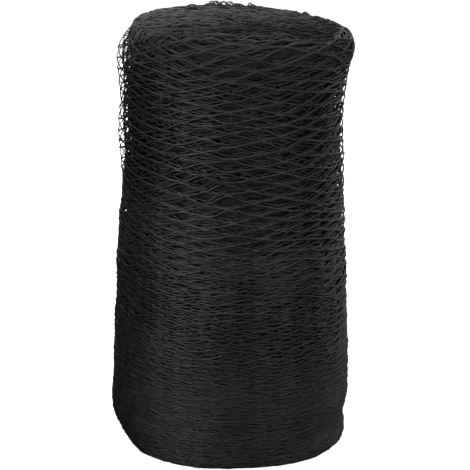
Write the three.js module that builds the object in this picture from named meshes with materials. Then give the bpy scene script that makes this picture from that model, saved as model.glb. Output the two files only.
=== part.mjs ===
// A roll of black pond netting, standing on end. Millimetres, +Z up, origin at the middle of its foot.
//
// The netting is one long strip of diamond mesh, bunched across its width and wound up without a core.
// wound_roll is the tight winding: the net's strands are ridges on its side, and its top end shows the turns.
// loose_turn is the last turn of the net, which has slackened and stands off the winding as an open mesh.
import * as THREE from "three";

// Driving dimensions
const MESHES_ROUND = 14; // diamonds in one turn
const COLUMNS = 2 * MESHES_ROUND; // half diamonds in one turn
const COLUMN_STEP = (2 * Math.PI) / COLUMNS;
const DIMPLE_DEPTH = 2.2; // how far a mesh opening sinks below the strands on the winding
const TOP_TILT = 0.042; // fall of the top end from left to right, per millimetre
const SHOULDER_HEIGHT = 392; // where the side ends and the shoulder begins
const FOOT_HEIGHT = 14; // where the rounded foot ends and the net's rows begin
const FOOT_MARGIN = 1; // least height between the foot's last ring and the first row

// Top end: the turns show as one spiral ridge
const END_TURNS = 8;
const END_RIDGE = 2.5; // a turn's edge above the groove beside it
const END_CROWN = 4; // rise of the end from its rim to the middle
const FIRST_GROOVE = 4; // width at which the outermost groove starts, at the rim
const CORE_RADIUS = 9; // of the innermost turn
const CORE_DEPTH = 7; // hollow in the middle of the end

// Loose turn
const TURN_THICKNESS = 1.6;
const STRAND_WIDTH = 2.6;
const TURN_START = COLUMNS / 4; // column at the back where the turn leaves the winding
const TURN_OVERLAP = 2; // columns by which its free end laps over its start
const SNUG_GAP = 1.2; // from the winding to the middle of the sheet where the turn lies tight
const LAP_GAP = 3.8; // more than that where its free end lies over its start
const LAP_FROM = 0.8; // share of the turn where the rise onto the start begins
const EASE_HEIGHT = 45; // height over which the turn goes from tight to loose

// Outline of the winding from the foot up: radius, and how far its middle lies to the right.
const SECTIONS = [
  { height: 0, radius: 114, right: 2.5 },
  { height: 3, radius: 116, right: 1.5 },
  { height: 9, radius: 117.2, right: 0.5 },
  { height: 26, radius: 117.6, right: -1 },
  { height: 48, radius: 116.6, right: -0.8 },
  { height: 70, radius: 115.6, right: -0.3 },
  { height: 110, radius: 114.3, right: 0 },
  { height: 150, radius: 112.6, right: 0.4 },
  { height: 195, radius: 109.8, right: 0.2 },
  { height: 235, radius: 107, right: 0.5 },
  { height: 275, radius: 105.2, right: 1.5 },
  { height: 335, radius: 104.6, right: 2 },
  { height: 372, radius: 107.2, right: 4.2 },
  { height: 388, radius: 109.5, right: 5.5 },
  { height: 400, radius: 108.4, right: 5.4 },
  { height: 406.5, radius: 104.5, right: 4.8 },
  { height: 410, radius: 97, right: 4.5 },
];

// Height of a mesh from knot to knot: wide open near the top, bunched tight at the foot.
const BUNCHING = [
  { height: 0, pitch: 3.9 },
  { height: 70, pitch: 5.6 },
  { height: 130, pitch: 7.3 },
  { height: 200, pitch: 9.6 },
  { height: 270, pitch: 10.6 },
  { height: 340, pitch: 13.4 },
  { height: 400, pitch: 14.2 },
];

// Places where the winding bulges or is pressed in, with the angle from +X and the reach each way.
const SWELLS = [
  { angle: 188, height: 0, wide: 28, tall: 18, rise: -10 },
  { angle: 0, height: 0, wide: 24, tall: 11, rise: -4 },
  { angle: 12, height: 392, wide: 40, tall: 14, rise: 3.5 },
  { angle: 185, height: 400, wide: 40, tall: 15, rise: -3.5 },
  { angle: 255, height: 325, wide: 34, tall: 55, rise: 1.4 },
  { angle: 300, height: 150, wide: 40, tall: 60, rise: 1.2 },
  { angle: 225, height: 90, wide: 30, tall: 45, rise: 1.3 },
  { angle: 70, height: 210, wide: 50, tall: 80, rise: 2 },
  { angle: 120, height: 80, wide: 45, tall: 50, rise: 1.6 },
  { angle: 145, height: 300, wide: 35, tall: 60, rise: -1.8 },
  { angle: 35, height: 320, wide: 40, tall: 50, rise: -1.5 },
];

// The loose turn along its way from the back, round by the right, the front and the left, to the back again.
const LOOSENESS = [
  { turn: 0, gap: 0, from: 215, to: 350 },
  { turn: 0.25, gap: 1.5, from: 210, to: 345 },
  { turn: 0.5, gap: 3.5, from: 235, to: 368 },
  { turn: 0.75, gap: 3.6, from: 285, to: 376 },
  { turn: 1, gap: 4, from: 250, to: 375 },
  { turn: 1.1, gap: 4, from: 240, to: 370 },
];
const TURN_TOP_LEVEL = 0; // level below the shoulder where the loose turn's upper edge lies
const TURN_LEVELS = 18; // levels that the loose turn reaches down

// Value of a table's column at a place between its rows, eased so that no row leaves a kink.
function tableValue(rows, key, place, column) {
  const after = rows.findIndex((row) => row[key] >= place);
  if (after === 0) return rows[0][column];
  if (after < 0) return rows[rows.length - 1][column];
  const low = Math.max(after - 2, 0);
  const high = Math.min(after + 1, rows.length - 1);
  const [before, next] = [rows[after - 1], rows[after]];
  const span = next[key] - before[key];
  const slopeIn = (next[column] - rows[low][column]) / (next[key] - rows[low][key]);
  const slopeOut = (rows[high][column] - before[column]) / (rows[high][key] - before[key]);
  const t = (place - before[key]) / span;
  return (
    before[column] * (2 * t ** 3 - 3 * t ** 2 + 1) +
    slopeIn * span * (t ** 3 - 2 * t ** 2 + t) +
    next[column] * (3 * t ** 2 - 2 * t ** 3) +
    slopeOut * span * (t ** 3 - t ** 2)
  );
}

// Sum of the swells at an angle and height on the winding.
function swellAt(angle, height) {
  let rise = 0;
  for (const swell of SWELLS) {
    const turned = THREE.MathUtils.radToDeg(angle) - swell.angle;
    const aside = THREE.MathUtils.euclideanModulo(turned + 180, 360) - 180;
    const above = height - swell.height;
    rise += swell.rise * Math.exp(-((aside / swell.wide) ** 2) - (above / swell.tall) ** 2);
  }
  return rise;
}

// Point on the winding's side at a column and a height along its axis, moved out by a distance.
function rollPoint(column, height, out) {
  const angle = column * COLUMN_STEP;
  const radius = tableValue(SECTIONS, "height", height, "radius") + swellAt(angle, height) + out;
  const x = tableValue(SECTIONS, "height", height, "right") + radius * Math.cos(angle);
  const y = radius * Math.sin(angle);
  const share = height / SHOULDER_HEIGHT;
  return new THREE.Vector3(x, y, height - TOP_TILT * x * share ** 2);
}

// Heights of the net's rows from the shoulder down to the foot, one mesh apart.
function netLevels() {
  const levels = [SHOULDER_HEIGHT];
  while (levels[levels.length - 1] > FOOT_HEIGHT) {
    const height = levels[levels.length - 1];
    levels.push(height - tableValue(BUNCHING, "height", height, "pitch"));
  }
  return levels;
}

// True where the net has an opening at a column and row of half diamonds, and false where it has a knot.
function isOpening(column, row) {
  return THREE.MathUtils.euclideanModulo(column + row, 2) === 1;
}

// A closed surface, gathered point by point and face by face.
class Surface {
  constructor() {
    this.points = [];
    this.faces = [];
  }

  point(place) {
    this.points.push(place.x, place.y, place.z);
    return this.points.length / 3 - 1;
  }

  triangle(a, b, c) {
    this.faces.push(a, b, c);
  }

  quad(a, b, c, d) {
    this.triangle(a, b, c);
    this.triangle(a, c, d);
  }

  geometry() {
    const made = new THREE.BufferGeometry();
    made.setAttribute("position", new THREE.Float32BufferAttribute(this.points, 3));
    made.setIndex(this.faces);
    made.computeVertexNormals();
    return made;
  }
}

// A ring of points round the winding. On a net row every other point is an opening, sunk below the strands.
function addRing(surface, height, row) {
  const ring = [];
  for (let column = 0; column < COLUMNS; column++) {
    const isSunk = row !== null && isOpening(column, row);
    ring.push(surface.point(rollPoint(column, height, isSunk ? -DIMPLE_DEPTH : 0)));
  }
  return ring;
}

// The band between a ring and the next one up, its folds running along the strands.
function joinRings(surface, lower, upper, row) {
  for (let column = 0; column < COLUMNS; column++) {
    const next = (column + 1) % COLUMNS;
    const corners = [lower[column], lower[next], upper[next], upper[column]];
    if (isOpening(column, row)) corners.push(corners.shift());
    surface.quad(...corners);
  }
}

// The top end: one ridge that winds inwards from the rim, a groove beside it, and a hollow in the middle.
function addTopEnd(surface, rim) {
  const height = SECTIONS[SECTIONS.length - 1].height;
  const rimRadius = SECTIONS[SECTIONS.length - 1].radius;
  const pitch = (rimRadius - FIRST_GROOVE - CORE_RADIUS) / (END_TURNS - 1);
  const last = END_TURNS * COLUMNS;
  const ridgeRadius = (step) => rimRadius - FIRST_GROOVE - (pitch * (step - COLUMNS)) / COLUMNS;

  const endPoint = (step, radius, rise) => {
    const share = radius / rimRadius;
    const rimPlace = rollPoint(step % COLUMNS, height, 0);
    const middle = rollPoint(0, height, 0).add(rollPoint(COLUMNS / 2, height, 0)).multiplyScalar(0.5);
    const place = middle.lerp(rimPlace, share);
    const hollow = CORE_DEPTH * Math.exp(-((radius / CORE_RADIUS) ** 2));
    place.z += END_CROWN * (1 - share ** 2) - hollow + rise;
    return surface.point(place);
  };

  const ridge = [...rim];
  for (let step = COLUMNS; step <= last; step++) ridge.push(endPoint(step, ridgeRadius(step), 0));
  const groove = [];
  for (let step = 0; step <= last; step++) {
    const outer = step < COLUMNS ? rimRadius : ridgeRadius(step);
    groove.push(endPoint(step, (outer + ridgeRadius(step + COLUMNS)) / 2, -END_RIDGE));
  }

  for (let step = 0; step < last; step++) {
    surface.quad(ridge[step], ridge[step + 1], groove[step + 1], groove[step]);
    const inner = step + COLUMNS;
    if (inner < last) surface.quad(groove[step], groove[step + 1], ridge[inner + 1], ridge[inner]);
  }
  surface.triangle(rim[COLUMNS - 1], rim[0], ridge[COLUMNS]);
  surface.triangle(rim[0], groove[0], ridge[COLUMNS]);

  const middle = endPoint(0, 0, -END_RIDGE);
  for (let step = last - COLUMNS; step < last; step++) {
    surface.triangle(groove[step], groove[step + 1], middle);
  }
  surface.triangle(groove[last], ridge[last], middle);
  surface.triangle(ridge[last], groove[last - COLUMNS], middle);
}

// The tight winding: a flat foot, the net's rows up the side, the shoulder and the wound top end.
function woundRoll(levels) {
  const surface = new Surface();
  const rows = [...levels].reverse();
  const isNetHeight = (height) => height > FOOT_HEIGHT && height < SHOULDER_HEIGHT;
  const plainHeights = SECTIONS.map((section) => section.height).filter((height) => !isNetHeight(height));
  const footHeights = plainHeights.filter((height) => height < FOOT_HEIGHT - FOOT_MARGIN);
  const shoulderHeights = plainHeights.filter((height) => height > SHOULDER_HEIGHT);

  const rings = footHeights.map((height) => addRing(surface, height, null));
  const firstRow = rings.length;
  rows.forEach((height, up) => rings.push(addRing(surface, height, levels.length - 1 - up)));
  shoulderHeights.forEach((height) => rings.push(addRing(surface, height, null)));
  for (let up = 0; up + 1 < rings.length; up++) {
    const row = levels.length - 1 - (up - firstRow);
    joinRings(surface, rings[up], rings[up + 1], row);
  }

  const foot = surface.point(new THREE.Vector3(0, 0, 0));
  for (let column = 0; column < COLUMNS; column++) {
    surface.triangle(foot, rings[0][(column + 1) % COLUMNS], rings[0][column]);
  }
  addTopEnd(surface, rings[rings.length - 1]);
  return surface.geometry();
}

// How far the loose turn stands off the winding at a share of its way round and a height.
function standOff(turn, height) {
  const gap = tableValue(LOOSENESS, "turn", turn, "gap");
  const from = tableValue(LOOSENESS, "turn", turn, "from");
  const to = tableValue(LOOSENESS, "turn", turn, "to");
  const opened = THREE.MathUtils.smoothstep(height, from - EASE_HEIGHT, from);
  const drawnIn = 1 - THREE.MathUtils.smoothstep(height, to, to + EASE_HEIGHT / 2);
  const lapped = THREE.MathUtils.smoothstep(turn, LAP_FROM, 1);
  return SNUG_GAP + LAP_GAP * lapped + gap * opened * drawnIn;
}

// The loose turn: an open diamond mesh, each diamond a frame of strands round a gap cut right through.
function looseTurn(levels) {
  const surface = new Surface();
  const lastColumn = COLUMNS + TURN_OVERLAP;
  const known = new Map();

  const heightAt = (level) => {
    const whole = Math.min(Math.floor(level), levels.length - 2);
    return THREE.MathUtils.lerp(levels[whole], levels[whole + 1], level - whole);
  };

  const sheetPoint = (column, level, side) => {
    const name = `${column.toFixed(4)} ${level.toFixed(4)} ${side}`;
    if (!known.has(name)) {
      const height = heightAt(level);
      const out = standOff(column / COLUMNS, height) + (side * TURN_THICKNESS) / 2;
      known.set(name, surface.point(rollPoint(TURN_START - column, height, out)));
    }
    return known.get(name);
  };

  const isDiamond = (column, level) =>
    column > 0 &&
    column < lastColumn &&
    level > TURN_TOP_LEVEL &&
    level < TURN_TOP_LEVEL + TURN_LEVELS &&
    isOpening(TURN_START - column, level);

  const addDiamond = (column, level) => {
    const [here, beside] = [column, column + 1].map((place) => rollPoint(place, heightAt(level), 0));
    const halfWide = here.distanceTo(beside);
    const halfTall = (heightAt(level - 1) - heightAt(level + 1)) / 2;
    const inscribed = (halfWide * halfTall) / Math.hypot(halfWide, halfTall);
    const open = 1 - STRAND_WIDTH / 2 / inscribed;
    const ways = [[-1, 0], [0, 1], [1, 0], [0, -1]];
    const corner = (way, share, side) => sheetPoint(column + share * way[0], level + share * way[1], side);
    ways.forEach((way, index) => {
      const next = ways[(index + 1) % ways.length];
      const [outerA, outerB] = [corner(way, 1, 1), corner(next, 1, 1)];
      const [outerGapA, outerGapB] = [corner(way, open, 1), corner(next, open, 1)];
      const [innerA, innerB] = [corner(way, 1, -1), corner(next, 1, -1)];
      const [innerGapA, innerGapB] = [corner(way, open, -1), corner(next, open, -1)];
      surface.quad(outerB, outerA, outerGapA, outerGapB);
      surface.quad(innerA, innerB, innerGapB, innerGapA);
      surface.quad(outerGapB, outerGapA, innerGapA, innerGapB);
      const neighbour = [column + way[0] + next[0], level + way[1] + next[1]];
      if (!isDiamond(...neighbour)) surface.quad(outerA, outerB, innerB, innerA);
    });
  };

  for (let level = TURN_TOP_LEVEL; level <= TURN_TOP_LEVEL + TURN_LEVELS; level++) {
    for (let column = 0; column <= lastColumn; column++) {
      if (isDiamond(column, level)) addDiamond(column, level);
    }
  }
  return surface.geometry();
}

function netMaterial(name) {
  return new THREE.MeshStandardMaterial({ name, color: 0x232323, roughness: 0.55, metalness: 0 });
}

function namedMesh(name, geometry) {
  const mesh = new THREE.Mesh(geometry, netMaterial(name));
  mesh.name = name;
  return mesh;
}

const levels = netLevels();
const netting = new THREE.Group();
netting.add(namedMesh("wound_roll", woundRoll(levels)));
netting.add(namedMesh("loose_turn", looseTurn(levels)));

export default netting;
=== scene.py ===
"""A roll of black pond netting, dressed strand by strand. Metres, +Z up, the camera on the -Y side.

The roll is a dark core under the last turns of its net. Each turn is drawn as the net's own strands, which
zigzag between knots and meet their neighbours there. The last turns are slack near the top and stand off
the roll.
"""
import math

import bpy
import numpy as np
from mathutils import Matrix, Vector
from mathutils.bvhtree import BVHTree


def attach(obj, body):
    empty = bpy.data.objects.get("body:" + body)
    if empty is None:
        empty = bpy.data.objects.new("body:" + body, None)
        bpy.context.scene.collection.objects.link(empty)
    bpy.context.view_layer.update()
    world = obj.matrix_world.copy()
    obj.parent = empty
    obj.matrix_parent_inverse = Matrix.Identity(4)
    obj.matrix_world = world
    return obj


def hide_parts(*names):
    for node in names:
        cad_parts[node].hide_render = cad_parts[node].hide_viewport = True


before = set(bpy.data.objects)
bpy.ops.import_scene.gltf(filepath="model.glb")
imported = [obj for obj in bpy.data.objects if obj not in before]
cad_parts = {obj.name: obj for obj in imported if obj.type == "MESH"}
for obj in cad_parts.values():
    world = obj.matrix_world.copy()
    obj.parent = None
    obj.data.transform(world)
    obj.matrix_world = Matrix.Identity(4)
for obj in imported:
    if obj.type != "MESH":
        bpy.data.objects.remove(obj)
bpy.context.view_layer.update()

SEED = 2

# The net
COLUMNS_ROUND = 28  # half meshes in one turn of the roll, from knot to knot
MESH_LEG = 0.025  # one side of a mesh
STRAND = 0.0018  # mean diameter of a strand
UNEVEN = 0.15  # unevenness of a strand's thickness
KNOT_SWELL = 0.20  # how much thicker a strand is at a knot
KNOT_SHARPNESS = 4  # a leg swells with this power of the way from its middle to a knot
KNOT_APART = 0.15  # strand diameters from a knot's middle to each of its two strands
ROLL_RADIUS = 0.11  # of a plain cylinder about as wide as the roll
LAP_COLUMNS = 2  # by which the net's end laps over the start of its last turn
LAST_TURN_ANGLE = math.radians(90)  # at the back, where the last turn starts
FOOT_EDGE = 0.100  # radius on the foot where the net's lower edge lies
TOP_EDGE = 0.074  # radius on the top end where the net's upper edge lies

# How the net is bunched at each rise, which is the height up the side and goes on from the rim over the
# top: the height of a mesh from knot to knot, the strands' diameter and the unevenness of their lines, and
# by how much of the spacing between two rows of knots the turns are shifted against each other. Legs with a
# bend of 0 are straight, with 1 they leave knots level
BUNCHING = [
    {"rise": 0.000, "pitch": 0.0041, "strand": 0.0024, "fuzz": 0.00055, "shift": 0.80, "bend": 0.25},
    {"rise": 0.030, "pitch": 0.0048, "strand": 0.0025, "fuzz": 0.00060, "shift": 0.80, "bend": 0.25},
    {"rise": 0.050, "pitch": 0.0055, "strand": 0.0025, "fuzz": 0.00062, "shift": 0.80, "bend": 0.25},
    {"rise": 0.080, "pitch": 0.0066, "strand": 0.0024, "fuzz": 0.00062, "shift": 0.80, "bend": 0.25},
    {"rise": 0.130, "pitch": 0.0080, "strand": 0.0023, "fuzz": 0.00060, "shift": 0.80, "bend": 0.25},
    {"rise": 0.200, "pitch": 0.0095, "strand": 0.0022, "fuzz": 0.00050, "shift": 0.86, "bend": 0.30},
    {"rise": 0.270, "pitch": 0.0108, "strand": 0.0020, "fuzz": 0.00042, "shift": 0.95, "bend": 0.40},
    {"rise": 0.320, "pitch": 0.0121, "strand": 0.0020, "fuzz": 0.00040, "shift": 0.95, "bend": 0.45},
    {"rise": 0.370, "pitch": 0.0120, "strand": 0.0019, "fuzz": 0.00040, "shift": 0.95, "bend": 0.45},
    {"rise": 0.410, "pitch": 0.0110, "strand": 0.0016, "fuzz": 0.00035, "shift": 0.95, "bend": 0.40},
    {"rise": 0.440, "pitch": 0.0100, "strand": 0.0015, "fuzz": 0.00035, "shift": 0.80, "bend": 0.30},
    {"rise": 0.510, "pitch": 0.0096, "strand": 0.0014, "fuzz": 0.00035, "shift": 0.60, "bend": 0.30},
]

# The last turn and those before it: shares of that shift and of the last turn's slack, and their depths
TURNS = [
    {"shift": 0.0, "depth": 0.0000, "slack": 1.00},
    {"shift": 1.0, "depth": 0.0007, "slack": 0.54},
    {"shift": -0.9, "depth": 0.0014, "slack": 0.20},
    {"shift": 1.9, "depth": 0.0024, "slack": 0.00},
    {"shift": -1.8, "depth": 0.0034, "slack": 0.00},
]
TURNS_SHOWN = len(TURNS)

# At the front of the upper part the turns' meshes lie nearly in step: the share of the shift that is lost
# there, the place, its half width and the stretch beside it, as shares of a turn, and the rise over which
# they fall into step
IN_STEP = {"share": 0.70, "place": 0.475, "wide": 0.10, "ease": 0.07, "low": 0.15, "high": 0.22}

# Shares of the spacing between two rows of knots by which the knots wander, and the waves in which they do
ROW_WAVE = {"length": 0.15, "rise": 0.50}  # all turns alike
CELL_WAVE = {"length": 0.05, "rise": 0.16}  # all turns alike
TURN_WAVE = {"length": 0.13, "rise": 0.09}  # each turn by itself
KNOT_JITTER = 0.08
COLUMN_WAVE = {"length": 0.08, "rise": 0.10}  # in columns, all turns alike
TURN_COLUMN_WAVE = {"length": 0.12, "rise": 0.06}  # in columns, each turn by itself
COLUMN_JITTER = 0.04

# The ripples in which strands lie higher and lower: the whole net's, and those of each strand by itself
WIDE_RIPPLE = {"length": 0.060, "rise": 0.00045}
SHORT_RIPPLE = {"length": 0.017, "rise": 0.00028}
RIPPLE_STEP = 0.013  # by which a strand's short ripple lies ahead of that of the strand below

# On the top the net is matted: its strands wander along the meridian and up and down there
MATTED_FROM, MATTED_TO = 0.395, 0.415  # rise
FLAT_FROM = 0.37  # rise from which the net's end lies flat
MATTED_WAVE = 0.035
MATTED_SWAY = 0.0015
MATTED_LIFT = 0.0004
LIFT_PACE = 3  # how much shorter the waves up and down are along the meridian
PRESSED = 0.0012  # by which the net is pressed down there
TUCKED = 0.0045  # by which it lies deeper at the left and right, under the net laid over the top
TUCKED_FROM, TUCKED_TO = 0.55, 0.85  # cosine of the angle from there

# The last turn from the back, round by the right, the front and the left: its stand-off between two
# heights, and its strands' diameter there as a share
SLACK = [
    {"turn": 0.00, "gap": 0.0000, "low": 0.215, "high": 0.350, "strand": 0.85},
    {"turn": 0.25, "gap": 0.0038, "low": 0.230, "high": 0.350, "strand": 0.80},
    {"turn": 0.40, "gap": 0.0014, "low": 0.248, "high": 0.360, "strand": 1.20},
    {"turn": 0.60, "gap": 0.0022, "low": 0.280, "high": 0.376, "strand": 1.10},
    {"turn": 0.67, "gap": 0.0052, "low": 0.285, "high": 0.388, "strand": 0.76},
    {"turn": 0.75, "gap": 0.0098, "low": 0.300, "high": 0.400, "strand": 0.54},
    {"turn": 1.00, "gap": 0.0050, "low": 0.300, "high": 0.375, "strand": 0.85},
    {"turn": 1.10, "gap": 0.0050, "low": 0.300, "high": 0.370, "strand": 0.85},
]
DRAWN_IN = 0.50  # share of that stand-off by which the winding under it is drawn in
SLACK_EASE = 0.045  # height over which the last turn goes from tight to slack
SLACK_LOWEST = 0.185  # height below which the last turn is as tight as the rest
TIGHT_FROM = 0.75  # share of an earlier turn from which it is drawn tight again, up to its end
LAP_RISE = 0.0030  # extra stand-off where the net's end lies over the start of the last turn
LAP_FROM = 0.8  # share of the last turn where that rise begins
UPPER_RISE = 0.0008  # by which the net stands higher on the upper part of the roll
UPPER_FROM, UPPER_TO = 0.12, 0.20
FOOT_HEIGHT = 0.05  # up to which the net is packed tight
FOOT_PACKED = 0.3  # share of the step between turns that is left there

# Sampling of the solid: rays along its meridians, which fan out to the edges of the foot and of the top
MERIDIANS = 180
SMOOTH_ANGLE = math.radians(9)  # spread of the average over neighbouring meridians
SMOOTH_REACH = 3  # spreads up to which it goes
FAN_RADIUS = 0.078
FOOT_FAN_HEIGHT = 0.030
TOP_FAN_HEIGHT = 0.366
FOOT_END_HEIGHT = 0.010  # below which a meridian is on the foot
TOP_END_HEIGHT = 0.394  # above which it is on the top end
NEARLY_MIDDLE = 0.001  # radius of a meridian's first and last ray
RAYS = {"foot": 14, "foot_edge": 16, "side": 90, "shoulder": 18, "top": 30}
RIDGE_MEAN = 0.0009  # the solid's ridges stand this far above its mean surface

# The shoulder of the roll hangs down at its left: most at an angle, and from a cosine of the angle to that
DROOP = {"depth": 0.0055, "reach": 0.045, "angle": math.radians(185), "from": 0.3}
# Where the foot is pressed in, or out with a depth below 0: most at a height and an angle, and from a cosine
# of the angle to that. It is pressed in at its right, and its edge is full at both sides of the front
FOOT_DENTS = [
    {"depth": 0.0056, "height": 0.018, "reach": 0.026, "angle": math.radians(-12), "from": 0.7},
    {"depth": -0.0033, "height": 0.002, "reach": 0.016, "angle": math.radians(-48), "from": 0.8},
    {"depth": -0.0036, "height": 0.002, "reach": 0.016, "angle": math.radians(-118), "from": 0.8},
]


def table_value(rows, key, place, column):
    """Values of a table's column at places between its rows."""
    return np.interp(place, [row[key] for row in rows], [row[column] for row in rows])


def smoothstep(value, low, high):
    share = np.clip((value - low) / (high - low), 0, 1)
    return share * share * (3 - 2 * share)


class RollSurface:
    """The winding's surface as meridians, from the foot's middle up the side to the middle of the top."""

    def __init__(self, solid):
        tree = BVHTree.FromObject(solid, bpy.context.evaluated_depsgraph_get())
        rays = self.section_rays()
        angles = np.arange(MERIDIANS) * 2 * math.pi / MERIDIANS
        found = np.array([[self.hit(tree, angle, *ray) for ray in rays] for angle in angles])
        self.section = self.smooth_round(found)
        self.section = self.dented(self.drooped(self.section, angles), angles)
        self.mean = self.section.mean(axis=0)
        steps = np.linalg.norm(np.diff(self.mean, axis=0), axis=1)
        self.way = np.concatenate([[0], np.cumsum(steps)])
        tangent = np.gradient(self.section, axis=1)
        normal = np.stack([tangent[..., 1], -tangent[..., 0]], axis=-1)
        self.normal = normal / np.linalg.norm(normal, axis=-1, keepdims=True)

    @staticmethod
    def section_rays():
        """Rays in the plane of a meridian: radius and height of the start, and angle above the horizon."""
        foot = np.linspace(NEARLY_MIDDLE, FAN_RADIUS, RAYS["foot"])[:-1]
        foot_edge = np.linspace(-90, 0, RAYS["foot_edge"])[:-1]
        side = np.linspace(FOOT_FAN_HEIGHT, TOP_FAN_HEIGHT, RAYS["side"])[:-1]
        shoulder = np.linspace(0, 90, RAYS["shoulder"])[:-1]
        top = np.linspace(FAN_RADIUS, NEARLY_MIDDLE, RAYS["top"])
        rays = [(radius, FOOT_FAN_HEIGHT, -90) for radius in foot]
        rays += [(FAN_RADIUS, FOOT_FAN_HEIGHT, angle) for angle in foot_edge]
        rays += [(0, height, 0) for height in side]
        rays += [(FAN_RADIUS, TOP_FAN_HEIGHT, angle) for angle in shoulder]
        rays += [(radius, TOP_FAN_HEIGHT, 90) for radius in top]
        return rays

    @staticmethod
    def hit(tree, angle, radius, height, rise):
        """Radius and height where a ray in the meridian at an angle leaves the solid."""
        outwards = Vector((math.cos(angle), math.sin(angle), 0))
        upwards = Vector((0, 0, 1))
        rise = math.radians(rise)
        way = outwards * math.cos(rise) + upwards * math.sin(rise)
        place = tree.ray_cast(outwards * radius + upwards * height, way)[0]
        return math.hypot(place.x, place.y), place.z

    @staticmethod
    def smooth_round(found):
        """The meridians averaged with their neighbours, so that the solid's diamonds leave no bumps."""
        step = 2 * math.pi / MERIDIANS
        reach = int(SMOOTH_REACH * SMOOTH_ANGLE / step)
        total = np.zeros_like(found)
        weights = 0
        for aside in range(-reach, reach + 1):
            weight = math.exp(-0.5 * (aside * step / SMOOTH_ANGLE) ** 2)
            total += weight * np.roll(found, aside, axis=0)
            weights += weight
        return total / weights

    @staticmethod
    def drooped(section, angles):
        """The meridians with the shoulder of the roll let down on one side."""
        top = section[..., 1].max()
        side = section[..., 0].max()
        apart = np.hypot(section[..., 0] - side, section[..., 1] - top)
        share = 1 - smoothstep(apart, 0, DROOP["reach"])
        front = smoothstep(np.cos(angles - DROOP["angle"]), DROOP["from"], 1)[:, None]
        drop = DROOP["depth"] * share * front * (section[..., 1] > TOP_FAN_HEIGHT / 2)
        return section - drop[..., None] * np.array([1, 1]) / math.sqrt(2)

    @staticmethod
    def dented(section, angles):
        """The meridians pressed in and out round the foot."""
        outer = smoothstep(section[..., 0], FAN_RADIUS, ROLL_RADIUS)
        pressed = 0
        for dent in FOOT_DENTS:
            share = 1 - smoothstep(np.abs(section[..., 1] - dent["height"]), 0, dent["reach"])
            side = smoothstep(np.cos(angles - dent["angle"]), dent["from"], 1)[:, None]
            pressed = pressed + dent["depth"] * share * side * outer
        return section - pressed[..., None] * np.array([1, 0])

    def blend(self, grid, angle, way):
        """Values of a grid between its meridians and its steps along them."""
        across = angle / (2 * math.pi) % 1 * MERIDIANS
        along = np.interp(way, self.way, np.arange(len(self.way)))
        column = np.floor(across).astype(int)
        row = np.clip(np.floor(along).astype(int), 0, len(self.way) - 2)
        aside = (across - column)[..., None]
        above = (along - row)[..., None]
        column = column % MERIDIANS
        after = (column + 1) % MERIDIANS
        lower = grid[column, row] * (1 - aside) + grid[after, row] * aside
        upper = grid[column, row + 1] * (1 - aside) + grid[after, row + 1] * aside
        return lower * (1 - above) + upper * above

    def place(self, angle, way, out):
        """Points at an angle and a way along the meridian, moved out of the surface, and their normals."""
        section = self.blend(self.section, angle, way)
        slope = self.blend(self.normal, angle, way)
        moved = section + slope * (out + RIDGE_MEAN)[..., None]
        turned = np.stack([np.cos(angle), np.sin(angle)], axis=-1)
        points = np.concatenate([moved[..., :1] * turned, moved[..., 1:]], axis=-1)
        normals = np.concatenate([slope[..., :1] * turned, slope[..., 1:]], axis=-1)
        return points, normals

    def rise_at(self, way):
        """Height up the side, and the way on from there over the top."""
        middle = len(self.way) // 2
        return way - self.way[middle] + self.mean[middle, 1]

    def height_at(self, way):
        return np.interp(way, self.way, self.mean[:, 1])

    def way_on_foot(self, radius):
        """Way along the mean meridian where it crosses a radius on the foot."""
        below = self.mean[:, 1] < FOOT_END_HEIGHT
        return np.interp(radius, self.mean[below, 0], self.way[below])

    def way_on_top(self, radius):
        """Way along the mean meridian where it crosses a radius on the top end."""
        above = self.way > self.way[np.argmax(self.mean[:, 1] > TOP_END_HEIGHT)]
        return np.interp(-radius, -self.mean[above, 0], self.way[above])


class Wobble:
    """A smooth random field in space, about 1 in size, with waves of about a given length."""

    WAVES = 16
    PACE_FROM, PACE_TO = 0.6, 1.5  # shares of the pace that waves of that length have

    def __init__(self, rng, length):
        direction = rng.normal(size=(self.WAVES, 3))
        direction /= np.linalg.norm(direction, axis=1, keepdims=True)
        pace = rng.uniform(self.PACE_FROM, self.PACE_TO, (self.WAVES, 1))
        self.pace = direction * (2 * math.pi / length * pace)
        self.phase = rng.uniform(0, 2 * math.pi, self.WAVES)

    def __call__(self, *place):
        """Values at places given by their coordinates, one array for each."""
        place = np.stack(np.broadcast_arrays(*place), axis=-1)
        pace = self.pace[:, :place.shape[-1]]
        return np.sin(place @ pace.T + self.phase).sum(axis=-1) * math.sqrt(2 / self.WAVES)


def new_object(name, mesh):
    mesh.shade_smooth()
    piece = bpy.data.objects.new(name, mesh)
    bpy.context.collection.objects.link(piece)
    return piece


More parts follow.
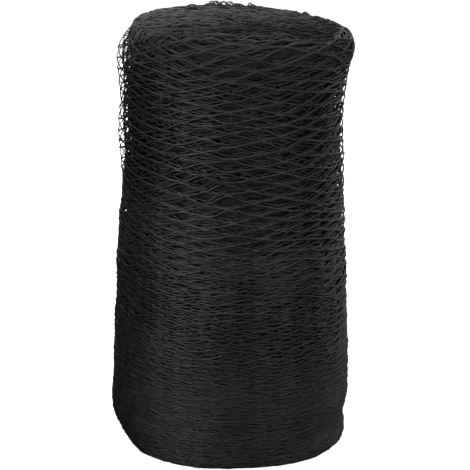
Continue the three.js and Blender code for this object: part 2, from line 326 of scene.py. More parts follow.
def tube_object(name, centres, normals, radius, sides):
    """One mesh of closed tubes. Centres and normals are (line, point, 3), and radius is (line, point)."""
    lines, points = radius.shape
    tangent = np.gradient(centres, axis=1)
    tangent /= np.linalg.norm(tangent, axis=-1, keepdims=True)
    beside = np.cross(tangent, normals)
    beside /= np.linalg.norm(beside, axis=-1, keepdims=True)
    above = np.cross(beside, tangent)
    turn = 2 * math.pi * np.arange(sides) / sides
    ring = np.cos(turn)[:, None] * above[:, :, None, :] + np.sin(turn)[:, None] * beside[:, :, None, :]
    places = centres[:, :, None, :] + radius[:, :, None, None] * ring

    index = np.arange(lines * points * sides).reshape(lines, points, sides)
    beyond = np.roll(index, -1, axis=2)
    quads = np.stack([index[:, :-1], beyond[:, :-1], beyond[:, 1:], index[:, 1:]], axis=-1).reshape(-1, 4)
    caps = np.concatenate([index[:, 0, ::-1], index[:, -1]])
    mesh = bpy.data.meshes.new(name)
    mesh.from_pydata(places.reshape(-1, 3).tolist(), [], quads.tolist() + caps.tolist())
    add_strand_map(mesh, lines, points, sides)
    return new_object(name, mesh)


def add_strand_map(mesh, lines, points, sides):
    """A UV map with a row for each strand: u runs along it and v round it."""
    line, point, side = np.indices((lines, points - 1, sides))
    left = point / (points - 1)
    right = (point + 1) / (points - 1)
    low = (line + side / sides) / lines
    high = (line + (side + 1) / sides) / lines
    corners = np.stack([left, low, left, high, right, high, right, low], axis=-1).reshape(-1, 2)
    row = np.repeat(np.arange(lines)[:, None] / lines, sides, 1)
    start = np.stack([np.zeros((lines, sides)), row], axis=-1).reshape(-1, 2)
    end = start + np.array([1, 0])
    layer = mesh.uv_layers.new(name="OFBake")
    layer.uv.foreach_set("vector", np.concatenate([corners, start, end]).ravel())


def uneven_shares(rng, shape):
    """Shares by which strands are thicker and thinner along their lines."""
    return 1 + np.clip(rng.normal(0, UNEVEN, shape), -2 * UNEVEN, 2 * UNEVEN)


def slack_gap(turn, height):
    """Stand-off of the last turn at a share of that turn, from the back, and a height."""
    low = table_value(SLACK, "turn", turn, "low")
    high = table_value(SLACK, "turn", turn, "high")
    slack = smoothstep(height, low - SLACK_EASE, low)
    slack = slack * (1 - smoothstep(height, high, high + SLACK_EASE / 2))
    return table_value(SLACK, "turn", turn, "gap") * slack


class Net:
    """The strip of net on the roll, as rows and columns of knots. Its last column is the net's end."""

    def __init__(self, surface, rng):
        self.surface = surface
        self.rng = rng
        self.levels = self.knot_levels()
        self.top_level = len(self.levels) - 1
        self.slack_level = int(np.argmax(surface.height_at(self.levels) > SLACK_LOWEST))
        self.last_column = TURNS_SHOWN * COLUMNS_ROUND + LAP_COLUMNS
        self.turn_start = (TURNS_SHOWN - 1) * COLUMNS_ROUND
        spacing = np.gradient(self.levels)[:, None]
        self.thick = self.bunching("strand")
        self.bend = self.bunching("bend")
        self.fuzz = self.bunching("fuzz")
        column = np.arange(self.last_column + 1)[None, :]
        way = self.levels[:, None]
        self.knot_way = way + spacing * self.knot_drift(column, way)
        self.knot_column = column + self.column_drift(column, way)
        self.wide_wave = Wobble(rng, WIDE_RIPPLE["length"])
        self.short_wave = Wobble(rng, SHORT_RIPPLE["length"])
        self.mat_sway = Wobble(rng, MATTED_WAVE)
        self.mat_lift = Wobble(rng, MATTED_WAVE)

    def knot_levels(self):
        """Ways along the meridian of the rows of knots, from the foot's edge to the inside of the top."""
        levels = [self.surface.way_on_foot(FOOT_EDGE)]
        last = self.surface.way_on_top(TOP_EDGE)
        while levels[-1] < last:
            pitch = table_value(BUNCHING, "rise", self.surface.rise_at(levels[-1]), "pitch")
            levels.append(levels[-1] + pitch / 2)
        return np.array(levels)

    def bunching(self, name):
        """Values from the table of bunching, one for each row of knots."""
        return table_value(BUNCHING, "rise", self.surface.rise_at(self.levels), name)[:, None]

    def angle(self, column):
        return LAST_TURN_ANGLE - (column - self.turn_start) * 2 * math.pi / COLUMNS_ROUND

    def around(self, column, way):
        """Places on a plain cylinder, so that what is drawn there repeats with each turn."""
        angle = self.angle(column)
        return ROLL_RADIUS * np.cos(angle), ROLL_RADIUS * np.sin(angle), way

    def turn_value(self, column, name):
        """Values from the table of turns, each reached half way round its turn."""
        turn = (column - self.turn_start) / COLUMNS_ROUND
        middles = 0.5 - np.arange(TURNS_SHOWN)
        return np.interp(turn, middles[::-1], [row[name] for row in TURNS][::-1])

    def knot_drift(self, column, way):
        """How far the knots wander up and down, in spacings between rows of knots."""
        around = self.around(column, way)
        drift = ROW_WAVE["rise"] * Wobble(self.rng, ROW_WAVE["length"])(*around)
        drift = drift + CELL_WAVE["rise"] * Wobble(self.rng, CELL_WAVE["length"])(*around)
        drift = drift + TURN_WAVE["rise"] * Wobble(self.rng, TURN_WAVE["length"])(column * MESH_LEG, way)
        rise = self.surface.rise_at(way)
        aside = np.abs((column - self.turn_start) / COLUMNS_ROUND % 1 - IN_STEP["place"])
        in_step = 1 - smoothstep(aside, IN_STEP["wide"], IN_STEP["wide"] + IN_STEP["ease"])
        in_step = IN_STEP["share"] * in_step * smoothstep(rise, IN_STEP["low"], IN_STEP["high"])
        shift = table_value(BUNCHING, "rise", rise, "shift") * (1 - in_step)
        drift = drift + shift * self.turn_value(column, "shift")
        return drift + self.rng.normal(0, KNOT_JITTER, drift.shape)

    def column_drift(self, column, way):
        """How far the knots wander sideways, in columns."""
        drift = COLUMN_WAVE["rise"] * Wobble(self.rng, COLUMN_WAVE["length"])(*self.around(column, way))
        own_wave = Wobble(self.rng, TURN_COLUMN_WAVE["length"])
        drift = drift + TURN_COLUMN_WAVE["rise"] * own_wave(column * MESH_LEG, way)
        return drift + self.rng.normal(0, COLUMN_JITTER, drift.shape)

    def stand_off(self, column, way):
        """Stand-off from the winding's surface, which grows with each turn and where the last are slack."""
        turn = (column - self.turn_start) / COLUMNS_ROUND
        height = self.surface.height_at(way)
        before = np.ceil(np.maximum(-turn, 0)).astype(int)
        place = turn + before
        gap = slack_gap(place, height)
        held = np.array([row["slack"] for row in TURNS] + [0])[before]
        held = held * np.where(before > 0, 1 - smoothstep(place, TIGHT_FROM, 1), 1)
        lapped = smoothstep(turn, LAP_FROM, 1)
        packed = FOOT_PACKED + (1 - FOOT_PACKED) * smoothstep(height, FOOT_HEIGHT, UPPER_FROM)
        upper = smoothstep(height, UPPER_FROM, UPPER_TO)
        flat = smoothstep(self.surface.rise_at(way), FLAT_FROM, MATTED_FROM)
        snug = -self.turn_value(column, "depth") * packed + UPPER_RISE * upper
        return snug + gap * (held - DRAWN_IN) + LAP_RISE * lapped * upper * (1 - flat)

    def slack_strand(self, column, way):
        """Shares of the strands' diameter: finer or fuller where the last turn is slack, 1 elsewhere."""
        turn = (column - self.turn_start) / COLUMNS_ROUND
        height = self.surface.height_at(way)
        slack = smoothstep(height, SLACK_LOWEST, SLACK_LOWEST + SLACK_EASE) * (turn > 0)
        return 1 - slack * (1 - table_value(SLACK, "turn", turn, "strand"))

    def strands(self, first_column, last_column, first_level, last_level, leg_points):
        """Centres, normals and radii of the strands between two columns and two rows of knots."""
        strand = np.arange(first_level, last_level)[:, None]
        column = np.arange(first_column, last_column + 1)[None, :]
        is_upper = (strand + column) % 2
        level = strand + is_upper
        knot_way = self.knot_way[level, column] + self.thick[level, 0] * KNOT_APART * (1 - 2 * is_upper)
        knot_column = self.knot_column[level, column]

        step = np.arange((last_column - first_column) * leg_points + 1)
        leg = np.minimum(step // leg_points, last_column - first_column - 1)
        share = (step - leg * leg_points) / leg_points
        bend = self.bend[first_level:last_level]
        eased = share + bend * (smoothstep(share, 0, 1) - share)
        way = knot_way[:, leg] * (1 - eased) + knot_way[:, leg + 1] * eased
        way = way + self.fuzz[first_level:last_level] * self.rng.normal(0, 1, way.shape)
        across = knot_column[:, leg] * (1 - share) + knot_column[:, leg + 1] * share

        x = across * MESH_LEG
        matted = smoothstep(self.surface.rise_at(way), MATTED_FROM, MATTED_TO)
        tucked = smoothstep(np.abs(np.cos(self.angle(across))), TUCKED_FROM, TUCKED_TO)
        lift = matted * (MATTED_LIFT * self.mat_lift(x, LIFT_PACE * way) - PRESSED - TUCKED * tucked)
        way = np.minimum(way + MATTED_SWAY * matted * self.mat_sway(x, way), self.levels[-1])
        ripple = WIDE_RIPPLE["rise"] * self.wide_wave(x, way)
        ripple = ripple + SHORT_RIPPLE["rise"] * self.short_wave(x, way + RIPPLE_STEP * strand)
        out = self.stand_off(across, way) + ripple + lift
        centres, normals = self.surface.place(self.angle(across), way, out)

        near_knot = np.abs(2 * share - 1) ** KNOT_SHARPNESS
        swell = (1 + KNOT_SWELL * near_knot) * uneven_shares(self.rng, way.shape)
        radius = self.thick[first_level:last_level] / 2 * swell * self.slack_strand(across, way)
        centres[..., 2] = np.maximum(centres[..., 2], radius)
        return centres, normals, radius


# The looks of the strands: the greys and the roughnesses between which each one is uneven, and its gloss.
# The wound strands are a darker, less glossy copy of the loose ones, as painted shade on the tight part and
# the turns below; the under strands are a lighter copy, as painted light that lifts the shade between the
# strands, with less gloss as painted shade on their highlights
STRAND_LOOKS = {
    "loose_strand": {"dark": 0.010, "light": 0.026, "smooth": 0.35, "rough": 0.55, "gloss": 0.46},
    # Painted shade: a darker, less glossy copy of the loose strand
    "wound_strand_painted_shade": {"dark": 0.008, "light": 0.022, "smooth": 0.34, "rough": 0.53, "gloss": 0.42},
    # Painted light: a lighter copy that lifts the shade between the strands, its lower gloss painted shade
    "under_strand_painted_light": {"dark": 0.018, "light": 0.044, "smooth": 0.40, "rough": 0.60, "gloss": 0.38},
    "end_strand": {"dark": 0.004, "light": 0.018, "smooth": 0.50, "rough": 0.75, "gloss": 0.36},
}
# Painted light: the inner turns are a lighter grey than the strands above them, lifting the shade between
# the strands, and their low gloss is painted shade on their highlights
INNER_PAINTED_LIGHT_LOOK = {"dark": 0.012, "light": 0.036, "rough": 0.70, "gloss": 0.12}

# The noises: their detail, the values that they mostly lie between, and their scales and reliefs
NOISE_DETAIL = 3
NOISE_LOW, NOISE_HIGH = 0.3, 0.7
STREAK_SCALE = 330
STREAK_RISE = 0.12  # scale of the strands' streaks up the roll, as a share of that round it
SPECKLE_SCALE = 230
CRINKLE_SCALE = 480
CRINKLE = {"strength": 0.5, "distance": 0.0005}
INNER_SCALE = 60
INNER_RISE = 9  # scale of the inner turns' streaks up the roll, as a multiple of that round it
INNER_RELIEF = {"strength": 0.9, "distance": 0.003}

# By how much rougher the strands are at the top and at the foot, and the heights between which it grows
TOP_DULL = 0.28
TOP_DULL_FROM, TOP_DULL_TO = 0.36, 0.40
FOOT_DULL = 0.14
FOOT_DULL_FROM, FOOT_DULL_TO = 0.16, 0.0
# Painted shade towards the foot: the strands' tone at the foot as a share of that higher up, and the height
# up to which it grows
FOOT_PAINTED_SHADE = 0.36
FOOT_PAINTED_SHADE_TO = 0.24

# Painted sheen on the top end: a pale film over its strands, thickest at its back and left, where light
# falls on them
TOP_PAINTED_SHEEN = 0.120
TOP_PAINTED_SHEEN_TOWARDS = (-0.55, 1, 0)
TOP_PAINTED_SHEEN_FROM, TOP_PAINTED_SHEEN_TO = -0.07, 0.12  # way in that direction


def range_node(tree, value, start, stop, low, high):
    """A number that goes from one value to another as its input goes from a start to a stop."""
    ramp = tree.nodes.new("ShaderNodeMapRange")
    ramp.inputs["From Min"].default_value = start
    ramp.inputs["From Max"].default_value = stop
    ramp.inputs["To Min"].default_value = low
    ramp.inputs["To Max"].default_value = high
    tree.links.new(value, ramp.inputs["Value"])
    return ramp.outputs["Result"]


def math_node(tree, operation, first, second):
    node = tree.nodes.new("ShaderNodeMath")
    node.operation = operation
    tree.links.new(first, node.inputs[0])
    tree.links.new(second, node.inputs[1])
    return node.outputs["Value"]


def axis_node(tree, place, axis):
    """One coordinate of a place."""
    split = tree.nodes.new("ShaderNodeSeparateXYZ")
    tree.links.new(place, split.inputs["Vector"])
    return split.outputs[axis]


def noise_node(tree, place, scale, rise=None):
    """A noise of a scale, drawn out or pressed together up the roll where a rise is given."""
    noise = tree.nodes.new("ShaderNodeTexNoise")
    noise.inputs["Scale"].default_value = scale
    noise.inputs["Detail"].default_value = NOISE_DETAIL
    if rise is not None:
        drawn_out = tree.nodes.new("ShaderNodeMapping")
        drawn_out.inputs["Scale"].default_value = (1, 1, rise)
        tree.links.new(place, drawn_out.inputs["Vector"])
        place = drawn_out.outputs["Vector"]
    tree.links.new(place, noise.inputs["Vector"])
    return noise.outputs["Fac"]


def noise_range(tree, noise, low, high):
    """A grey or number that follows a noise between two values."""
    return range_node(tree, noise, NOISE_LOW, NOISE_HIGH, low, high)


def add_relief(tree, shader, height, strength, distance):
    bump = tree.nodes.new("ShaderNodeBump")
    bump.inputs["Strength"].default_value = strength
    bump.inputs["Distance"].default_value = distance
    tree.links.new(height, bump.inputs["Height"])
    tree.links.new(bump.outputs["Normal"], shader.inputs["Normal"])


def new_material(name, gloss):
    """A material, its node tree and shader, and the place on the object as its nodes see it."""
    material = bpy.data.materials.new(name)
    material.use_nodes = True
    tree = material.node_tree
    shader = tree.nodes["Principled BSDF"]
    shader.inputs["Specular IOR Level"].default_value = gloss
    place = tree.nodes.new("ShaderNodeTexCoord").outputs["Object"]
    return material, tree, shader, place


def net_material(name, dark, light, smooth, rough, gloss):
    """Satin black plastic strand: uneven in tone and roughness, with fine crinkles, and with painted shade
    that darkens its tone towards the foot.
    """
    material, tree, shader, place = new_material(name, gloss)
    height = axis_node(tree, place, "Z")
    tone = noise_range(tree, noise_node(tree, place, STREAK_SCALE, STREAK_RISE), dark, light)
    # Painted shade: the tone is darkened towards the foot
    shade = range_node(tree, height, 0, FOOT_PAINTED_SHADE_TO, FOOT_PAINTED_SHADE, 1)
    tree.links.new(math_node(tree, "MULTIPLY", tone, shade), shader.inputs["Base Color"])
    roughness = noise_range(tree, noise_node(tree, place, SPECKLE_SCALE), smooth, rough)
    top_dull = range_node(tree, height, TOP_DULL_FROM, TOP_DULL_TO, 0, TOP_DULL)
    foot_dull = range_node(tree, height, FOOT_DULL_FROM, FOOT_DULL_TO, 0, FOOT_DULL)
    dull = math_node(tree, "ADD", top_dull, foot_dull)
    tree.links.new(math_node(tree, "ADD", roughness, dull), shader.inputs["Roughness"])
    add_relief(tree, shader, noise_node(tree, place, CRINKLE_SCALE), **CRINKLE)
    return material


def add_painted_sheen(material):
    """Painted sheen: a pale film over a material's own tone, thickest in one direction."""
    tree = material.node_tree
    shader = tree.nodes["Principled BSDF"]
    place = tree.nodes.new("ShaderNodeTexCoord").outputs["Object"]
    way = tree.nodes.new("ShaderNodeVectorMath")
    way.operation = "DOT_PRODUCT"
    way.inputs[1].default_value = TOP_PAINTED_SHEEN_TOWARDS
    tree.links.new(place, way.inputs[0])
    # Painted sheen, growing along that direction
    sheen_film = range_node(tree, way.outputs["Value"], TOP_PAINTED_SHEEN_FROM, TOP_PAINTED_SHEEN_TO, 0, TOP_PAINTED_SHEEN)
    tone = shader.inputs["Base Color"].links[0].from_socket
    tree.links.new(math_node(tree, "ADD", tone, sheen_film), shader.inputs["Base Color"])


def inner_material(name):
    """Black inner turns, seen only between the strands, with streaks as of more strands below. Their grey is
    lighter than the strands' as painted light that lifts the shade between the strands, and their low gloss
    is painted shade.
    """
    material, tree, shader, place = new_material(name, INNER_PAINTED_LIGHT_LOOK["gloss"])
    shader.inputs["Roughness"].default_value = INNER_PAINTED_LIGHT_LOOK["rough"]
    streaks = noise_node(tree, place, INNER_SCALE, INNER_RISE)
    tone = noise_range(tree, streaks, INNER_PAINTED_LIGHT_LOOK["dark"], INNER_PAINTED_LIGHT_LOOK["light"])
    tree.links.new(tone, shader.inputs["Base Color"])
    add_relief(tree, shader, streaks, **INNER_RELIEF)
    return material


# The core: its mesh, how deep it lies under the winding's surface, and the waves in which that is uneven,
# which are paced differently round the roll and up it
CORE_ROUNDS, CORE_STEPS = 200, 170
CORE_DEPTH = [
    {"height": 0.00, "depth": 0.0020},
    {"height": 0.03, "depth": 0.0026},
    {"height": 0.08, "depth": 0.0038},
    {"height": 0.15, "depth": 0.0048},
    {"height": 0.25, "depth": 0.0050},
    {"height": 0.37, "depth": 0.0050},
    {"height": 0.42, "depth": 0.0048},
]
CORE_WAVES = [
    {"rise": 0.0005, "length": 0.020, "pace_round": 1.0, "pace_up": 3},
    {"rise": 0.0004, "length": 0.008, "pace_round": 0.4, "pace_up": 2},
]


def roll_core(surface, rng):
    """The inner turns as one closed body under the strands, its surface uneven."""
    way = np.linspace(surface.way[1], surface.way[-2], CORE_STEPS)[None, :]
    angle = (np.arange(CORE_ROUNDS) * 2 * math.pi / CORE_ROUNDS)[:, None]
    x = ROLL_RADIUS * angle
    uneven = 0
    for wave in CORE_WAVES:
        field = Wobble(rng, wave["length"])
        uneven = uneven + wave["rise"] * field(wave["pace_round"] * x, wave["pace_up"] * way)
    height = surface.height_at(way)
    turn = (LAST_TURN_ANGLE - angle) / (2 * math.pi) % 1
    depth = table_value(CORE_DEPTH, "height", height, "depth") + DRAWN_IN * slack_gap(turn, height)
    points, _ = surface.place(angle + 0 * way, way + 0 * angle, uneven - depth)
    points[..., 2] = np.maximum(points[..., 2], STRAND / 2)

    places = points.reshape(-1, 3).tolist()
    index = np.arange(CORE_ROUNDS * CORE_STEPS).reshape(CORE_ROUNDS, CORE_STEPS)
    beyond = np.roll(index, -1, axis=0)
    quads = np.stack([index[:, :-1], beyond[:, :-1], beyond[:, 1:], index[:, 1:]], axis=-1).reshape(-1, 4)
    low, high = len(places), len(places) + 1
    places += [points[:, 0].mean(axis=0).tolist(), points[:, -1].mean(axis=0).tolist()]
    faces = quads.tolist()
    faces += [[beyond[r, 0], index[r, 0], low] for r in range(CORE_ROUNDS)]
    faces += [[index[r, -1], beyond[r, -1], high] for r in range(CORE_ROUNDS)]
    mesh = bpy.data.meshes.new("roll_core")
    mesh.from_pydata(places, [], faces)
    return new_object("roll_core", mesh)


# The strands on the ends of the roll: spirals that go from its rim to the flat fold from which it was wound
FOLD_HALF = 0.052
FOLD_ANGLE = math.radians(6)
END_RINGS = 14
RING_POINTS = 90
END_SIDES = 5  # of a strand's section
ZIGZAG_SHARE = 0.6  # the zigzag's size as a share of a ply's sway
SWAY_SHARE, SWAY_WAVE = 0.8, 0.06  # the random sway's size as a share of it, and the length of its waves
LIFT_WAVE = 0.05
TOP_RIM = 0.099
TOP_STRAND = 0.0015
TOP_PLIES = [
    {"rise": -0.0040, "sway": 0.0040, "lift": 0.0006},
    {"rise": -0.0034, "sway": 0.0044, "lift": 0.0007},
]
FOOT_RIM = 0.100
FOOT_PLIES = [
    {"rise": -0.0018, "sway": 0.0020, "lift": 0.0002},
    {"rise": -0.0016, "sway": 0.0020, "lift": 0.0002},
]


def end_spiral(surface, rng, rim, way_at, ply):
    """Centres and normals of one strand wound over an end of the roll, as the net's edges lie there."""
    turned = np.linspace(0, 2 * math.pi * END_RINGS, END_RINGS * RING_POINTS + 1)
    share = turned / turned[-1]
    half_long = rim + (FOLD_HALF - rim) * share
    half_wide = rim * (1 - share) + STRAND * share
    start = rng.uniform(0, 2 * math.pi)
    step = np.hypot(half_long * np.sin(start - turned), half_wide * np.cos(start - turned)) * turned[1]
    along = np.cumsum(step)
    zigzag = np.cos(math.pi * (along / MESH_LEG + rng.uniform(0, 2)))
    sway = ply["sway"] * (ZIGZAG_SHARE * zigzag + SWAY_SHARE * Wobble(rng, SWAY_WAVE)(along))
    x = (half_long + sway) * np.cos(start - turned)
    y = (half_wide + sway) * np.sin(start - turned)
    angle = np.arctan2(y, x) + FOLD_ANGLE
    way = way_at(np.minimum(np.hypot(x, y), rim))
    out = ply["rise"] + ply["lift"] * Wobble(rng, LIFT_WAVE)(along)
    return surface.place(angle, way, out)


def end_strands(name, surface, rng, rim, way_at, plies, strand):
    """The strands that show on an end of the roll: a few spirals that cross each other at small angles."""
    lines = [end_spiral(surface, rng, rim, way_at, ply) for ply in plies]
    centres = np.stack([line[0] for line in lines])
    normals = np.stack([line[1] for line in lines])
    centres[..., 2] = np.maximum(centres[..., 2], strand / 2)
    radius = np.full(centres.shape[:2], strand / 2)
    return tube_object(name, centres, normals, radius, END_SIDES)


# The net's upper edge laid flat over the top end, in plies of rows that run from left to right
LAID_RIM = 0.102
LAID_POINTS = 44
LAID_PLIES = [
    {"rise": -0.0030, "turned": math.radians(-7), "spacing": 0.0090},
    {"rise": -0.0022, "turned": math.radians(4), "spacing": 0.0098},
    {"rise": -0.0014, "turned": math.radians(9), "spacing": 0.0094},
    {"rise": -0.0006, "turned": math.radians(-3), "spacing": 0.0102},
]
LAID_SWAY = 0.0024
LAID_LIFT = 0.0010
LAID_WAVE = 0.05
LAID_FUZZ = 0.00035  # unevenness of the strands' lines


def laid_ply(surface, rng, ply):
    """Centres and normals of one ply's strands, which zigzag and meet their neighbours as in the net."""
    rows = np.arange(-LAID_RIM, LAID_RIM, ply["spacing"])[1:, None]
    half = np.sqrt(np.maximum(LAID_RIM ** 2 - rows ** 2, 0))
    along = half * np.linspace(-1, 1, LAID_POINTS)
    phase = math.pi * (np.arange(len(rows))[:, None] + rng.uniform(0, 2))
    zigzag = ply["spacing"] / 2 * np.cos(math.pi * along / MESH_LEG + phase)
    aside = rows + zigzag + LAID_SWAY * Wobble(rng, LAID_WAVE)(along, rows)
    aside = aside + rng.normal(0, LAID_FUZZ, aside.shape)
    angle = np.arctan2(aside, along) + ply["turned"]
    way = surface.way_on_top(np.minimum(np.hypot(along, aside), LAID_RIM))
    out = ply["rise"] + LAID_LIFT * Wobble(rng, LAID_WAVE)(along, aside)
    return surface.place(angle, way, out)


def laid_strands(surface, rng):
    """The net's upper edge, laid over the top end."""
    plies = [laid_ply(surface, rng, ply) for ply in LAID_PLIES]
    centres = np.concatenate([ply[0] for ply in plies])
    normals = np.concatenate([ply[1] for ply in plies])
    radius = TOP_STRAND / 2 * uneven_shares(rng, centres.shape[:2])
    return tube_object("laid_strands", centres, normals, radius, END_SIDES)


# Loops of strand that stick up from the top end: the part of the rim, in degrees, and their size
STRAY_LOOPS = [
    {"count": 16, "from": 74, "to": 104, "radius": 0.095, "wide": 0.011, "rise": 0.0042, "lean": 0.003},
    {"count": 8, "from": 12, "to": 72, "radius": 0.096, "wide": 0.012, "rise": 0.0026, "lean": 0.003},
    {"count": 2, "from": 105, "to": 150, "radius": 0.094, "wide": 0.012, "rise": 0.0012, "lean": 0.004},
    {"count": 6, "from": 165, "to": 182, "radius": 0.090, "wide": 0.020, "rise": 0.0024, "lean": 0.012},
]
LOOP_POINTS = 11
LOOP_SIZES = (0.6, 1.3)  # shares of that width and lean
LOOP_RISES = (0.5, 1.2)  # shares of that rise
LOOP_SCATTER = 0.002  # of the radius


def stray_loops(surface, rng):
    """Short loops of strand that have sprung up along the rim of the top end."""
    share = np.linspace(0, 1, LOOP_POINTS)
    arch = np.sin(math.pi * share)
    lines = []
    for row in STRAY_LOOPS:
        for _ in range(row["count"]):
            middle = math.radians(rng.uniform(row["from"], row["to"]))
            size = rng.uniform(*LOOP_SIZES)
            radius = row["radius"] + rng.normal(0, LOOP_SCATTER) - row["lean"] * size * arch
            angle = middle + (share - 0.5) * row["wide"] * size / row["radius"]
            out = -STRAND / 2 + row["rise"] * rng.uniform(*LOOP_RISES) * arch
            lines.append(surface.place(angle, surface.way_on_top(radius), out))
    centres = np.stack([line[0] for line in lines])
    normals = np.stack([line[1] for line in lines])
    radius = np.full(centres.shape[:2], TOP_STRAND / 2)
    return tube_object("stray_loops", centres, normals, radius, END_SIDES)


# How finely the turns' strands are drawn: points along a leg, and sides of their section
LAST_TURN = {"leg_points": 6, "sides": 5}
EARLIER_TURNS = [
    {"name": "net_second_turn", "material": "wound_strand_painted_shade", "leg_points": 5, "sides": 4},
    {"name": "net_third_turn", "material": "wound_strand_painted_shade", "leg_points": 4, "sides": 4},
    {"name": "net_fourth_turn", "material": "under_strand_painted_light", "leg_points": 4, "sides": 4},
    {"name": "net_fifth_turn", "material": "under_strand_painted_light", "leg_points": 4, "sides": 3},
]


def finish_piece(piece, material):
    piece.data.materials.append(material)
    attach(piece, "root")


def last_turn_part(name, net, first_level, last_level):
    """The last turn's strands between two rows of knots."""
    lines = net.strands(net.turn_start, net.last_column, first_level, last_level, LAST_TURN["leg_points"])
    return tube_object(name, *lines, LAST_TURN["sides"])


def build_turns(net, materials):
    """The last turn, in its loose and its tight part, and those before it. Gives the loose part."""
    loose_turn = last_turn_part("net_loose_turn", net, net.slack_level, net.top_level)
    finish_piece(loose_turn, materials["loose_strand"])
    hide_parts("loose_turn")
    outer_turn = last_turn_part("net_outer_turn", net, 0, net.slack_level)
    finish_piece(outer_turn, materials["wound_strand_painted_shade"])

    end = net.turn_start
    for row in EARLIER_TURNS:
        start = end - COLUMNS_ROUND
        lines = net.strands(start, end, 0, net.top_level, row["leg_points"])
        turn = tube_object(row["name"], *lines, row["sides"])
        finish_piece(turn, materials[row["material"]])
        end = start
    return loose_turn


def build_ends(surface, rng, materials):
    """The strands on the top end and on the foot."""
    top = end_strands("top_strands", surface, rng, TOP_RIM, surface.way_on_top, TOP_PLIES, TOP_STRAND)
    finish_piece(top, materials["end_strand"])
    laid = laid_strands(surface, rng)
    finish_piece(laid, materials["end_strand"])
    foot = end_strands("foot_strands", surface, rng, FOOT_RIM, surface.way_on_foot, FOOT_PLIES, STRAND)
    finish_piece(foot, materials["wound_strand_painted_shade"])
    loops = stray_loops(surface, rng)
    finish_piece(loops, materials["end_strand"])


def build_netting():
    rng = np.random.default_rng(SEED)
    surface = RollSurface(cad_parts["wound_roll"])
    net = Net(surface, rng)
    materials = {name: net_material(name, **look) for name, look in STRAND_LOOKS.items()}
    # Painted sheen on the top end's strands, lightest at the back and left
    add_painted_sheen(materials["end_strand"])

    core = roll_core(surface, rng)
    finish_piece(core, inner_material("inner_turns_painted_light"))
    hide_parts("wound_roll")
    loose_turn = build_turns(net, materials)
    build_ends(surface, rng, materials)


# The studio
FLOOR_HALF = 7
FLOOR_GREY = 0.9
FLOOR_ROUGH = 0.9
FLOOR_GLOSS = 0.1
FLOOR_GLOW = 0.88
LIGHT_AIM = (0, 0, 0.28)
# Soft boxes round the roll: side and rise are the angles of their direction in degrees, with the camera at
# side 0 and positive sides at its right, and away, wide and high are metres
LIGHTS = [
    {"name": "key", "side": -36, "rise": 7, "away": 1.6, "wide": 1.3, "high": 0.55, "power": 11.2},
    {"name": "strip", "side": -58, "rise": 7, "away": 1.5, "wide": 0.4, "high": 0.55, "power": 3.5},
    {"name": "fill", "side": 45, "rise": 4, "away": 1.8, "wide": 1.3, "high": 0.55, "power": 8.4},
    {"name": "rim", "side": 115, "rise": 6, "away": 1.6, "wide": 1.0, "high": 0.80, "power": 4},
    {"name": "behind", "side": 165, "rise": 14, "away": 1.8, "wide": 1.3, "high": 1.30, "power": 5},
    {"name": "back", "side": -172, "rise": 36, "away": 1.6, "wide": 1.0, "high": 0.60, "power": 9},
    {"name": "overhead", "side": -60, "rise": 82, "away": 1.4, "wide": 1.0, "high": 1.00, "power": 14.5},
]
# The room's glow, which grows upwards and to the right, by a direction's part along each of these axes
ROOM_UPWARDS = {"start": 0.0, "stop": 1.0, "low": 0.065, "high": 0.31}
ROOM_TO_RIGHT = {"start": -0.9, "stop": 0.7, "low": 0.03, "high": 1.2}
CAMERA_PLACE = (0.0039, -1.85, 0.73)
CAMERA_DOWN = 16.017  # degrees below the horizon
LENS_MM = 150.08
SENSOR_MM = 36


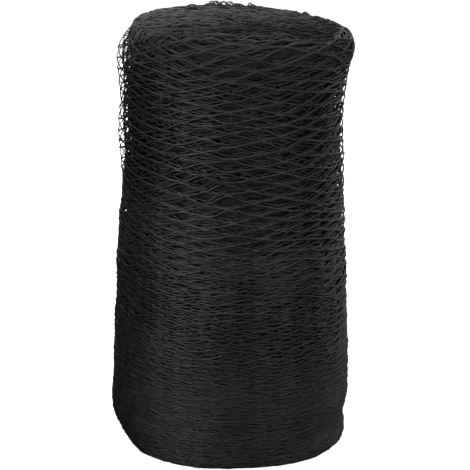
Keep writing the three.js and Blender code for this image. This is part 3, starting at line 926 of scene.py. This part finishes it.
def add_floor():
    mesh = bpy.data.meshes.new("floor")
    corners = [(-FLOOR_HALF, -FLOOR_HALF, 0), (FLOOR_HALF, -FLOOR_HALF, 0)]
    corners += [(FLOOR_HALF, FLOOR_HALF, 0), (-FLOOR_HALF, FLOOR_HALF, 0)]
    mesh.from_pydata(corners, [], [(0, 1, 2, 3)])
    floor = bpy.data.objects.new("floor", mesh)
    bpy.context.collection.objects.link(floor)
    material = bpy.data.materials.new("floor")
    material.use_nodes = True
    shader = material.node_tree.nodes["Principled BSDF"]
    shader.inputs["Base Color"].default_value = (FLOOR_GREY, FLOOR_GREY, FLOOR_GREY, 1)
    shader.inputs["Roughness"].default_value = FLOOR_ROUGH
    shader.inputs["Specular IOR Level"].default_value = FLOOR_GLOSS
    shader.inputs["Emission Color"].default_value = (1, 1, 1, 1)
    shader.inputs["Emission Strength"].default_value = FLOOR_GLOW
    mesh.materials.append(material)
    floor.visible_glossy = False
    floor.visible_diffuse = False


def add_light(name, side, rise, away, wide, high, power):
    turn, tilt = math.radians(side), math.radians(rise)
    outwards = Vector((math.sin(turn) * math.cos(tilt), -math.cos(turn) * math.cos(tilt), math.sin(tilt)))
    lamp = bpy.data.lights.new(name, "AREA")
    lamp.shape = "RECTANGLE"
    lamp.size, lamp.size_y = wide, high
    lamp.energy = power
    light = bpy.data.objects.new(name, lamp)
    light.location = Vector(LIGHT_AIM) + outwards * away
    light.rotation_euler = (-outwards).to_track_quat("-Z", "Y").to_euler()
    bpy.context.collection.objects.link(light)


def add_room():
    """A white room around, dimmer towards the floor and the left."""
    world = bpy.data.worlds.new("studio")
    world.use_nodes = True
    tree = world.node_tree
    room = tree.nodes["Background"]
    room.inputs["Color"].default_value = (1, 1, 1, 1)
    direction = tree.nodes.new("ShaderNodeTexCoord").outputs["Generated"]
    upwards = range_node(tree, axis_node(tree, direction, "Z"), **ROOM_UPWARDS)
    to_right = range_node(tree, axis_node(tree, direction, "X"), **ROOM_TO_RIGHT)
    tree.links.new(math_node(tree, "MULTIPLY", upwards, to_right), room.inputs["Strength"])
    bpy.context.scene.world = world


def add_studio():
    add_floor()
    add_room()
    for light in LIGHTS:
        add_light(**light)
    bpy.context.scene.view_settings.view_transform = "Standard"


def add_camera():
    lens = bpy.data.cameras.new("camera")
    lens.sensor_fit = "HORIZONTAL"
    lens.sensor_width = SENSOR_MM
    lens.lens = LENS_MM
    camera = bpy.data.objects.new("camera", lens)
    camera.location = CAMERA_PLACE
    camera.rotation_euler = (math.radians(90 - CAMERA_DOWN), 0, 0)
    bpy.context.collection.objects.link(camera)
    bpy.context.scene.camera = camera


add_camera()
build_netting()
add_studio()
